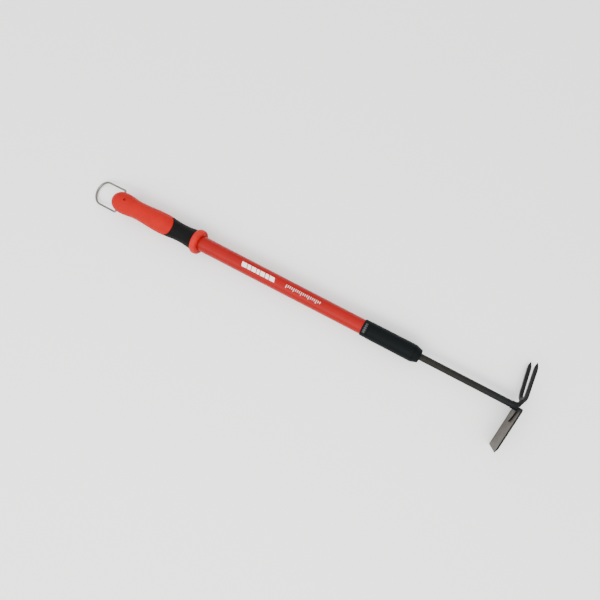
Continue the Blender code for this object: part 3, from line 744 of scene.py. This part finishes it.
class WEEDER_OT_grip_screw(bpy.types.Operator):
    """Builds the small sunk screw that holds the grip to the end plug"""

    bl_idname = "weeder.grip_screw"
    bl_label = "Grip screw"

    def execute(self, context):
        settings = context.scene.weeder_head
        fade = {"sheen": settings.lacquer, "sheen_from": -0.02, "sheen_to": -0.01}
        steel = lacquered_steel("browned steel, cold headed", linear(BROWNED), worn=0.0, **fade)
        centre, low, high, _ = screw_place()
        screw = place_object("grip_screw_head", screw_mesh(low, high), steel, (centre.x, centre.y, high))
        combine(screw, cross_cutters((centre.x, centre.y, high)), "DIFFERENCE")
        stand_for(screw, "grip_screw")
        return {"FINISHED"}


# ---------------------------------------------------------------- bail


def bail_points():
    """Centre line of the hoop in its own frame: the pivot is at the origin and the bow at -x."""
    half = BAIL_HALF_WIDTH
    bend = 2.8 * MM
    side = [(0.0, 8 * MM), (0.0, half - bend - 3 * MM)]
    side += arc((-bend, half - bend), bend, 0, 90, 8)
    side += [(-bend - (BAIL_LEG - bend) * i / 6, half) for i in range(1, 6)]
    bow = arc((-BAIL_LEG, 0.0), half, 90, 270, 48)
    return side + bow + [(x, -y) for x, y in reversed(side)]


def directions(points, i):
    """Unit vectors along and across a flat line of points at one of them."""
    before = Vector(points[max(0, i - 1)])
    after = Vector(points[min(len(points) - 1, i + 1)])
    along = (after - before).normalized()
    return along, Vector((-along.y, along.x))


def wire_mesh(name, points, radius, sides):
    """A round wire along flat points, with rounded ends."""
    rings = []
    for i, (x, y) in enumerate(points):
        along, across = directions(points, i)
        offsets = [(0.0, 1.0)]
        if i == 0:
            offsets = [(-0.25, 0.0001), (-0.2, 0.5), (0.0, 1.0)]
        if i == len(points) - 1:
            offsets = [(0.0, 1.0), (0.2, 0.5), (0.25, 0.0001)]
        for ahead, share in offsets:
            middle = Vector((x, y)) + along * ahead * radius
            points_round = []
            for k in range(sides):
                angle = 2 * pi * k / sides
                flat = middle + across * radius * share * cos(angle)
                points_round.append((flat.x, flat.y, radius * share * sin(angle)))
            rings.append(points_round)
    return mesh_from_rings(name, rings)


class WEEDER_OT_bail(bpy.types.Operator):
    """Builds the wire hoop that the tool hangs on"""

    bl_idname = "weeder.bail"
    bl_label = "Bail"

    def execute(self, context):
        settings = context.scene.weeder_bail
        droop = asin((PIVOT.z - WIRE_R) / (BAIL_LEG + BAIL_HALF_WIDTH))
        zinc = zinc_plated_steel("zinc plated steel, drawn wire", settings.zinc)
        mesh = wire_mesh("bail", bail_points(), WIRE_R, settings.sides)
        hoop = place_object("bail_wire", mesh, zinc, PIVOT, (0.0, -droop, 0.0))
        stand_for(hoop, "bail", body="bail")
        return {"FINISHED"}


# ---------------------------------------------------------------- tube and ferrule


def printed_patch(shape, corners, radius):
    """Adds one flat printed shape, given as (station, arc) corners, wrapped on the tube's top."""
    columns = 6
    (x0, s0), (x1, s1), lean = corners
    grid = []
    for i in range(columns + 1):
        s = s0 + (s1 - s0) * i / columns
        angle = pi / 2 - s / radius
        shift = lean * (s - s0)
        grid.append(
            [
                shape.verts.new((x + shift, radius * cos(angle), radius * sin(angle)))
                for x in (x0, x0 + (x1 - x0) / 2, x1)
            ]
        )
    for first, second in zip(grid, grid[1:]):
        for a, b, c, d in zip(first, first[1:], second[1:], second):
            shape.faces.new((a, b, c, d))


def printed_marks(name, patches, radius, lift=0.04 * MM):
    """A thin printed film on the tube, made of separate patches."""
    shape = bmesh.new()
    for patch in patches:
        printed_patch(shape, patch, radius + lift)
    faces = list(shape.faces)
    grown = bmesh.ops.extrude_face_region(shape, geom=faces)
    inner = [item for item in grown["geom"] if isinstance(item, bmesh.types.BMVert)]
    for vertex in inner:
        scale = (radius + lift / 4) / (radius + lift)
        vertex.co.y *= scale
        vertex.co.z *= scale
    bmesh.ops.recalc_face_normals(shape, faces=shape.faces)
    return plain_mesh(name, shape)


def bold_blocks(start, end, low, high):
    """A row of plain slanted blocks, a generic mark."""
    widths = (9, 6, 8, 5, 8, 6, 9)
    gap = 1.5 * MM
    unit = (end - start - gap * (len(widths) - 1)) / sum(widths)
    patches = []
    x = start
    for width in widths:
        patches.append(((x, low), (x + width * unit, high), -0.3))
        x += width * unit + gap
    return patches


def fine_ticks(start, end, low, high, pitch):
    """A row of thin ticks, like the divisions of a rule."""
    patches = []
    count = int((end - start) / pitch)
    for i in range(count + 1):
        x = start + i * pitch
        bottom = low if i % 4 == 0 else low + (high - low) * 0.35
        patches.append(((x, bottom), (x + 0.8 * MM, high), 0.0))
    return patches


class WEEDER_OT_tube(bpy.types.Operator):
    """Builds the painted tube and the plain marks printed on it"""

    bl_idname = "weeder.tube"
    bl_label = "Tube"

    def execute(self, context):
        settings = context.scene.weeder_handle
        paint = powder_coat("red polyester powder coat on steel tube", settings.paint)
        ink = printing_ink("off-white pad printing ink", settings.ink)
        inner = TUBE_R - TUBE_WALL
        outside = [(TUBE_START, inner), (TUBE_START, TUBE_R)]
        count = 40
        outside += [(TUBE_START + (TUBE_END - TUBE_START) * i / count, TUBE_R) for i in range(1, count)]
        outside += [(TUBE_END, TUBE_R), (TUBE_END, inner)]
        mesh = turned("tube", outside, settings.steps)
        stand_for(place_object("tube_painted", mesh, paint), "tube")
        first = bold_blocks(start=242 * MM, end=301 * MM, low=-2.5 * MM, high=5.0 * MM)
        second = fine_ticks(start=321 * MM, end=385 * MM, low=-1.6 * MM, high=4.6 * MM, pitch=3.4 * MM)
        marks = place_object("tube_print", printed_marks("tube_print", first + second, TUBE_R), ink)
        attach(marks, "tool")
        return {"FINISHED"}


def ferrule_profile():
    """The ferrule: a banded rim, a groove, and a body that widens to the front."""
    rim_end = FERRULE_START + 10.5 * MM
    body_r = BORE_R + 1.6 * MM
    groove = 0.4 * MM
    return [
        (FERRULE_START, BORE_R),
        (FERRULE_START, RIM_R - 0.6 * MM),
        (FERRULE_START + 0.6 * MM, RIM_R),
        (rim_end - 0.3 * MM, RIM_R),
        (rim_end, RIM_R - groove),
        (rim_end + groove, RIM_R - groove),
        (rim_end + 2 * groove, body_r),
        (FERRULE_END - 0.2 * MM, FERRULE_R),
        (FERRULE_END, FERRULE_R - 0.2 * MM),
        (FERRULE_END, BORE_R),
    ]


def nose_profile():
    """The stepped nose: a spigot inside the ferrule, a shoulder and a chamfer down to the rod."""
    shoulder = FERRULE_END + TOUCH
    spigot_r = BORE_R - TOUCH
    front_r = ROD_BORE_R + 5.4 * MM
    return [
        (NOSE_START, ROD_BORE_R),
        (NOSE_START, spigot_r),
        (shoulder, spigot_r),
        (shoulder, NOSE_R - 0.2 * MM),
        (shoulder + 0.3 * MM, NOSE_R),
        (NOSE_END - 1.0 * MM, front_r - 0.1 * MM),
        (NOSE_END, front_r - 0.9 * MM),
        (NOSE_END, ROD_BORE_R + 1.2 * MM),
        (NOSE_END - 0.8 * MM, ROD_BORE_R),
    ]


class WEEDER_OT_ferrule(bpy.types.Operator):
    """Builds the black ferrule, its printed rim and the nose that steps down to the rod"""

    bl_idname = "weeder.ferrule"
    bl_label = "Ferrule"

    def execute(self, context):
        settings = context.scene.weeder_handle
        plastic = moulded_plastic("black glass-filled nylon, moulded", settings.plastic, 0.5, 0.05)
        ink = printing_ink("grey pad printing ink", linear(FERRULE_INK))
        body = turned("ferrule_body", softened(ferrule_profile(), 0.35 * MM), settings.steps)
        stand_for(place_object("ferrule_shell", body, plastic), "ferrule_body")
        nose = turned("ferrule_nose", softened(nose_profile(), 0.3 * MM, 4), settings.steps)
        stand_for(place_object("ferrule_nose_shell", nose, plastic), "ferrule_nose")
        patches = []
        for i in range(-4, 5):
            low = i * 2.0 * MM
            length = (3.0 if i % 2 else 5.0) * MM
            middle = FERRULE_START + 5.4 * MM
            corners = ((middle - length / 2, low - 0.5 * MM), (middle + length / 2, low + 0.5 * MM))
            patches.append((*corners, 0.0))
        marks = place_object("ferrule_print", printed_marks("ferrule_print", patches, RIM_R), ink)
        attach(marks, "tool")
        return {"FINISHED"}


# ---------------------------------------------------------------- head


class WEEDER_OT_rod(bpy.types.Operator):
    """Builds the steel rod and the collar welded round its end"""

    bl_idname = "weeder.rod"
    bl_label = "Rod and hub"

    def execute(self, context):
        settings = context.scene.weeder_head
        dark = settings.lacquer
        # The rod's warm brown near the ferrule is a painted sheen that fades into the lacquer towards the hub.
        fade = {"sheen": settings.rod_sheen, "sheen_from": NOSE_END, "sheen_to": HUB_START}
        rod_steel = lacquered_steel("drawn steel rod, dark lacquer, painted sheen", dark, worn=0.0, **fade)
        hub_steel = lacquered_steel("steel, welded and lacquered", dark)
        count = 24
        profile = [(ROD_START, 0.0), (ROD_START, ROD_R)]
        profile += [(ROD_START + (ROD_END - ROD_START) * i / count, ROD_R) for i in range(1, count)]
        profile += [(ROD_END, ROD_R), (ROD_END, 0.0)]
        mesh = turned("rod", softened(profile, 0.4 * MM), 64, loop=False)
        stand_for(place_object("rod_drawn", mesh, rod_steel), "rod")
        hub = place_object("head_hub_welded", hub_mesh(), hub_steel)
        stand_for(hub, "head_hub")
        return {"FINISHED"}


def plate_face(lean, height):
    """Station of a leaning plate's inner face at a height from the axis."""
    return HEAD_X - abs(height) * sin(lean) / cos(lean)


def hub_mesh():
    """The collar with its weld beads: a rippled bead on the rod, and a fillet that climbs the fork's foot."""
    steps = 96
    rows = 26
    rings = []
    for i in range(rows + 1):
        share = i / rows
        points = []
        for k in range(steps):
            angle = 2 * pi * k / steps
            height = cos(angle)
            lean = FORK_LEAN if height > 0 else BLADE_LEAN
            front = plate_face(lean, HUB_R * height) - TOUCH
            x = HUB_START + (front - HUB_START) * share
            bead = 0.35 * MM * exp(-(((share - 0.16) / 0.1) ** 2))
            fillet = 0.5 * MM * max(0.0, (share - 0.75) / 0.25) ** 1.8
            if height > 0:
                fillet += 2.6 * MM * height**2 * max(0.0, (share - 0.35) / 0.65) ** 2.2
            ripple = 1 + 0.22 * sin(13 * angle + 9 * share) + 0.12 * sin(29 * angle)
            base = ROD_BORE_R + 0.2 * MM + (HUB_R - 0.8 * MM - ROD_BORE_R) * min(1.0, share / 0.42)
            r = base + (bead + fillet) * ripple
            points.append((x, r * cos(angle), r * sin(angle)))
        rings.append(points)
    inside = []
    for x, y, z in rings[-1]:
        length = sqrt(y * y + z * z)
        inside.append((x, y * ROD_BORE_R / length, z * ROD_BORE_R / length))
    rings.append(inside)
    rings.append(ring(HUB_START, ROD_BORE_R, steps))
    return mesh_from_rings("head_hub", rings, loop=True)


def plate_place(lean, thickness):
    """Location and turn of a plate whose own x is the tool's z, y its height and z its thickness."""
    offset = Vector((cos(lean), sin(lean), 0.0)) * thickness / 2
    return AXIS + Vector((HEAD_X, 0.0, 0.0)) + offset, (0.0, -pi / 2, lean)


def close_plate(name, shape, grids):
    """Joins a back and a front grid of vertices into a plate whose rim has the second material."""
    for grid, flip in zip(grids, (False, True)):
        for first, second in zip(grid, grid[1:]):
            for k in range(len(first) - 1):
                corners = (first[k], second[k], second[k + 1], first[k + 1])
                shape.faces.new(tuple(reversed(corners)) if flip else corners)
    back, front = [g[0][::-1] + [r[0] for r in g[1:-1]] + g[-1] + [r[-1] for r in g[-2:0:-1]] for g in grids]
    for i in range(len(back)):
        j = (i + 1) % len(back)
        rim = shape.faces.new((back[i], back[j], front[j], front[i]))
        rim.material_index = 1
    return smooth_mesh(name, shape)


def blade_mesh(top, reach, half_width, slope):
    """The blade with round shoulders, a faint dish, a hollow ground bevel and a slightly used edge."""
    shoulder_r = 6 * MM
    corner_r = 0.8 * MM
    grind = 8 * MM
    rows = 72
    columns = 28
    thin = 0.5 * MM
    half = BLADE_THICKNESS / 2
    heights = []
    for i in range(rows + 1):
        share = i / rows
        heights.append(top - (top + reach) * (share + 0.12 * sin(2 * pi * share) / -(2 * pi)))

    def width_at(y):
        from_top = top - y
        from_edge = y + reach
        if from_top < shoulder_r:
            lift = shoulder_r - from_top
            return half_width - shoulder_r + sqrt(max(0.0, shoulder_r**2 - lift**2))
        if from_edge < corner_r:
            lift = corner_r - from_edge
            return half_width - corner_r + sqrt(max(0.0, corner_r**2 - lift**2))
        return half_width

    def faces_at(x, y):
        from_edge = y + reach
        dish = 0.25 * MM * (1 - (x / half_width) ** 2) * sin(pi * min(1.0, (top - y) / (top + reach)))
        back = half - dish
        front = -half - dish * 0.6
        if from_edge < grind:
            share = 1 - from_edge / grind
            front = -half + (2 * half - thin) * (share * 0.85 + 0.15 * share**2)
        return back, front

    shape = bmesh.new()
    grids = ([], [])
    for y in heights:
        wide = width_at(y)
        for grid, side in zip(grids, (0, 1)):
            row = []
            for k in range(columns + 1):
                x = wide * (2 * k / columns - 1)
                nick = 0.0
                if y + reach < 0.1 * MM:
                    nick = 0.12 * MM * (sin(x * 2900) + sin(x * 1300 + 1.0)) * 0.5 + 0.12 * MM
                slant = x * slope * min(1.0, (top - y) / (top + reach - grind))
                row.append(shape.verts.new((x, y + nick - slant, faces_at(x, y)[side])))
            grid.append(row)
    return close_plate("blade", shape, grids)


class WEEDER_OT_blade(bpy.types.Operator):
    """Builds the weeding blade"""

    bl_idname = "weeder.blade"
    bl_label = "Blade"

    def execute(self, context):
        settings = context.scene.weeder_head
        low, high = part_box("blade")
        top = 1.0 * MM
        half_width = (high.z - low.z) / 2
        slope = EDGE_SLANT / half_width
        reach = (AXIS.y - low.y) / cos(BLADE_LEAN) - EDGE_SLANT
        steel = rolled_blade_steel(
            "hardened strip steel, rolled and ground",
            settings.steel,
            settings.edge,
            settings.lacquer,
            -reach,
            -2.0 * MM,
            slope,
        )
        rim = lacquered_steel("sheared steel edge, lacquered", settings.lacquer)
        place, turn = plate_place(-BLADE_LEAN, BLADE_THICKNESS)
        mesh = blade_mesh(top, reach - 0.1 * MM, half_width, slope)
        blade = place_object("blade_rolled", mesh, steel, place, turn)
        blade.data.materials.append(rim)
        bevel_edges(blade, 0.18 * MM, 2, radians(45))
        stand_for(blade, "blade")
        return {"FINISHED"}


def tine_path(middle, splay, yoke_top, depth, tip):
    """Centre line of the yoke and both tines in the fork's own plane, from tip to tip."""
    rows = 34
    side = []
    for i in range(rows):
        share = 1 - i / rows
        side.append((middle + splay * share, yoke_top + (tip - yoke_top) * share))
    yoke = []
    for i in range(41):
        angle = pi * i / 40
        yoke.append((middle * cos(angle), yoke_top - depth * sin(angle)))
    return side + yoke + [(-x, y) for x, y in reversed(side)]


def fork_mesh(points, width, thickness, tip, point_length):
    """A forged bar swept along the path: square with round edges, drawn out to a point at both ends."""
    sides = 28
    rings = []
    for i, (x, y) in enumerate(points):
        _, across = directions(points, i)
        to_tip = max(0.0, min(1.0, (tip - y) / point_length))
        slim = 0.1 + 0.9 * sin(pi / 2 * to_tip) ** 0.9
        ring_points = []
        for k in range(sides):
            angle = 2 * pi * k / sides
            c, s = cos(angle), sin(angle)
            power = 0.55
            wide = width / 2 * slim * (abs(c) ** power) * (1 if c >= 0 else -1)
            tall = thickness / 2 * slim * (abs(s) ** power) * (1 if s >= 0 else -1)
            flat = Vector((x, y)) + across * wide
            ring_points.append((flat.x, flat.y, tall))
        rings.append(ring_points)
    return mesh_from_rings("fork", rings)


def neck_mesh(half_width, low, high, full, foot):
    """The fork's foot: a forged tongue that thickens up into the yoke. Its handle side stays flat."""
    rows = 14
    sides = 32
    rings = []
    for i in range(rows + 1):
        share = i / rows
        y = low + (high - low) * share
        swell = (1 - cos(pi * min(1.0, share * 1.25))) / 2
        wide = half_width * (0.9 + 0.3 * share**1.5)
        deep = foot + (full * 0.97 - foot) * swell
        points = []
        for k in range(sides):
            angle = 2 * pi * k / sides
            c, s = cos(angle), sin(angle)
            x = wide * (abs(c) ** 0.5) * (1 if c >= 0 else -1)
            z = full / 2 - deep / 2 + deep / 2 * (abs(s) ** 0.5) * (1 if s >= 0 else -1)
            points.append((x, y, z))
        rings.append(points)
    return mesh_from_rings("fork_neck", rings)


class WEEDER_OT_fork(bpy.types.Operator):
    """Builds the forged yoke with its two pointed tines"""

    bl_idname = "weeder.fork"
    bl_label = "Fork"

    def execute(self, context):
        settings = context.scene.weeder_head
        _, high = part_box("fork")
        width = 6.6 * MM
        tip = (high.y - AXIS.y - sin(FORK_LEAN) * FORK_THICKNESS / 2) / cos(FORK_LEAN) - 0.2 * MM
        steel = lacquered_steel("forged steel, lacquered", settings.lacquer, worn=0.04, rubbed=FORK_THICKNESS / 2)
        place, turn = plate_place(FORK_LEAN, FORK_THICKNESS)
        points = tine_path(middle=15 * MM, splay=2.8 * MM, yoke_top=24.5 * MM, depth=11.4 * MM, tip=tip)
        mesh = fork_mesh(points, width, FORK_THICKNESS, tip, point_length=13 * MM)
        fork = place_object("fork_forged", mesh, steel, place, turn)
        foot = neck_mesh(half_width=6.2 * MM, low=1.4 * MM, high=14.5 * MM, full=FORK_THICKNESS, foot=FOOT)
        neck = place_object("neck", foot, steel, place, turn)
        combine(fork, [neck], "UNION")
        stand_for(fork, "fork")
        return {"FINISHED"}


def gusset_mesh(top, length, root, tip, thickness):
    """The tapering plate under the hub, in the blade's own frame: wide at the hub, with a rounded tip."""
    rows = 24
    columns = 10
    shape = bmesh.new()
    grids = ([], [])
    for i in range(rows + 1):
        share = i / rows
        y = top - length * share
        wide = root + (tip - root) * share
        if share > 0.9:
            wide *= sqrt(max(0.12, 1 - ((share - 0.9) / 0.1) ** 2))
        for grid, side in zip(grids, (1, -1)):
            row = []
            for k in range(columns + 1):
                across = 2 * k / columns - 1
                swell = SWELL * (1 - across**2) * (1 - share) if side > 0 else 0.0
                z = side * thickness / 2 - SWELL * (side > 0) + swell
                row.append(shape.verts.new((wide * across, y, z)))
            grid.append(row)
    return close_plate("blade_gusset", shape, grids)


class WEEDER_OT_gusset(bpy.types.Operator):
    """Builds the tapering plate between the hub and the blade's inner face"""

    bl_idname = "weeder.gusset"
    bl_label = "Gusset"

    def execute(self, context):
        settings = context.scene.weeder_head
        steel = rolled_blade_steel(
            "pressed strip steel, scaled", settings.steel, settings.edge, settings.lacquer, -1.0, -9.5 * MM
        )
        rim = lacquered_steel("sheared steel rim, lacquered", settings.lacquer)
        place, turn = plate_place(-BLADE_LEAN, GUSSET_THICKNESS)
        away = Vector((cos(BLADE_LEAN), -sin(BLADE_LEAN), 0.0)) * (GUSSET_THICKNESS + TOUCH)
        mesh = gusset_mesh(-(HUB_R + TOUCH), 20.5 * MM, root=11 * MM, tip=4 * MM, thickness=GUSSET_THICKNESS)
        gusset = place_object("blade_gusset_pressed", mesh, steel, place - away, turn)
        gusset.data.materials.append(rim)
        bevel_edges(gusset, 0.25 * MM, 2, radians(45))
        stand_for(gusset, "blade_gusset")
        return {"FINISHED"}


class WEEDER_OT_inside(bpy.types.Operator):
    """Gives the pieces inside the handle their materials"""

    bl_idname = "weeder.inside"
    bl_label = "Inside pieces"

    def execute(self, context):
        plastic = moulded_plastic("black polyamide, moulded", context.scene.weeder_handle.plastic, 0.5, 0.4)
        zinc = zinc_plated_steel("zinc plated steel, cut pin", context.scene.weeder_bail.zinc)
        finishes = {
            "end_plug": plastic,
            "rod_bush_upper": plastic,
            "rod_bush_lower": plastic,
            "lock_pin": zinc,
        }
        for node, material in finishes.items():
            for slot in frame["nodes"][node].material_slots:
                slot.material = material
        return {"FINISHED"}


# ---------------------------------------------------------------- stage


def area_light(name, power, size, location, aim, colour):
    data = bpy.data.lights.new(name, "AREA")
    data.shape = "RECTANGLE"
    data.size = size[0]
    data.size_y = size[1]
    data.energy = power
    data.color = colour[:3]
    light = bpy.data.objects.new(name, data)
    bpy.context.scene.collection.objects.link(light)
    light.location = location
    light.rotation_euler = (Vector(aim) - Vector(location)).to_track_quat("-Z", "Y").to_euler()
    return light


class WEEDER_OT_stage(bpy.types.Operator):
    """Builds the pale floor, the soft light and the camera straight over the tool"""

    bl_idname = "weeder.stage"
    bl_label = "Stage"

    def execute(self, context):
        settings = context.scene.weeder_stage
        shape = bmesh.new()
        bmesh.ops.create_grid(shape, x_segments=2, y_segments=2, size=12.0)
        paper = matt_paper("white paper sweep", settings.floor)
        floor = place_object("floor", plain_mesh("floor", shape), paper, (0.0, 0.0, -0.2 * MM))
        white = linear("#FFFDFB")
        area_light("key", settings.key, (2.4, 0.45), (0.1, -0.75, 1.2), (0.1, 0.0, 0.0), white)
        area_light("side", settings.fill, (2.4, 0.8), (0.0, -1.1, 0.9), (0.0, 0.0, 0.0), white)
        world = bpy.data.worlds.new("soft room")
        world.use_nodes = True
        tree = world.node_tree
        background = tree.nodes["Background"]
        place = add_node(tree, "ShaderNodeTexCoord")
        height = add_node(tree, "ShaderNodeSeparateXYZ", {"Vector": (place, "Generated")})
        dome = colour_ramp(tree, (height, "Z"), [(0.0, grey(0.16)), (0.35, grey(0.5)), (0.95, grey(1.0))])
        tree.links.new(dome.outputs[0], background.inputs["Color"])
        background.inputs["Strength"].default_value = settings.dome
        context.scene.world = world
        lens = bpy.data.cameras.new("camera")
        lens.lens = settings.focal
        lens.sensor_width = 36.0
        lens.shift_x = -0.145
        lens.shift_y = 0.075
        lens.clip_start = 0.01
        camera = bpy.data.objects.new("camera", lens)
        context.scene.collection.objects.link(camera)
        camera.location = AXIS + Vector((510.5 * MM, -8.0 * MM, settings.height))
        camera.rotation_euler = Euler((0.0, 0.0, radians(27.4)))
        context.scene.camera = camera
        return {"FINISHED"}


class WEEDER_PT_panel(bpy.types.Panel):
    """Lists the weeder's builders and settings"""

    bl_idname = "WEEDER_PT_panel"
    bl_label = "Stand up weeder"
    bl_space_type = "VIEW_3D"
    bl_region_type = "UI"
    bl_category = "Weeder"

    def draw(self, context):
        for builder in BUILDERS:
            self.layout.operator(builder.bl_idname)
        for name, group in SETTINGS.items():
            box = self.layout.box()
            for key in group.__annotations__:
                box.prop(getattr(context.scene, name), key)


SETTINGS = {
    "weeder_grip": GripSettings,
    "weeder_handle": HandleSettings,
    "weeder_head": HeadSettings,
    "weeder_bail": BailSettings,
    "weeder_stage": StageSettings,
}
BUILDERS = (
    WEEDER_OT_stage,
    WEEDER_OT_grip,
    WEEDER_OT_grip_screw,
    WEEDER_OT_bail,
    WEEDER_OT_tube,
    WEEDER_OT_ferrule,
    WEEDER_OT_rod,
    WEEDER_OT_blade,
    WEEDER_OT_fork,
    WEEDER_OT_gusset,
    WEEDER_OT_inside,
)
CLASSES = (*SETTINGS.values(), *BUILDERS, WEEDER_PT_panel)


def register():
    for item in CLASSES:
        bpy.utils.register_class(item)
    for name, group in SETTINGS.items():
        setattr(bpy.types.Scene, name, PointerProperty(type=group))


def unregister():
    for name in SETTINGS:
        delattr(bpy.types.Scene, name)
    for item in reversed(CLASSES):
        bpy.utils.unregister_class(item)


def main():
    register()
    for builder in BUILDERS:
        getattr(bpy.ops.weeder, builder.bl_idname.removeprefix("weeder."))()
    bpy.context.view_layer.update()


if __name__ == "__main__":
    main()
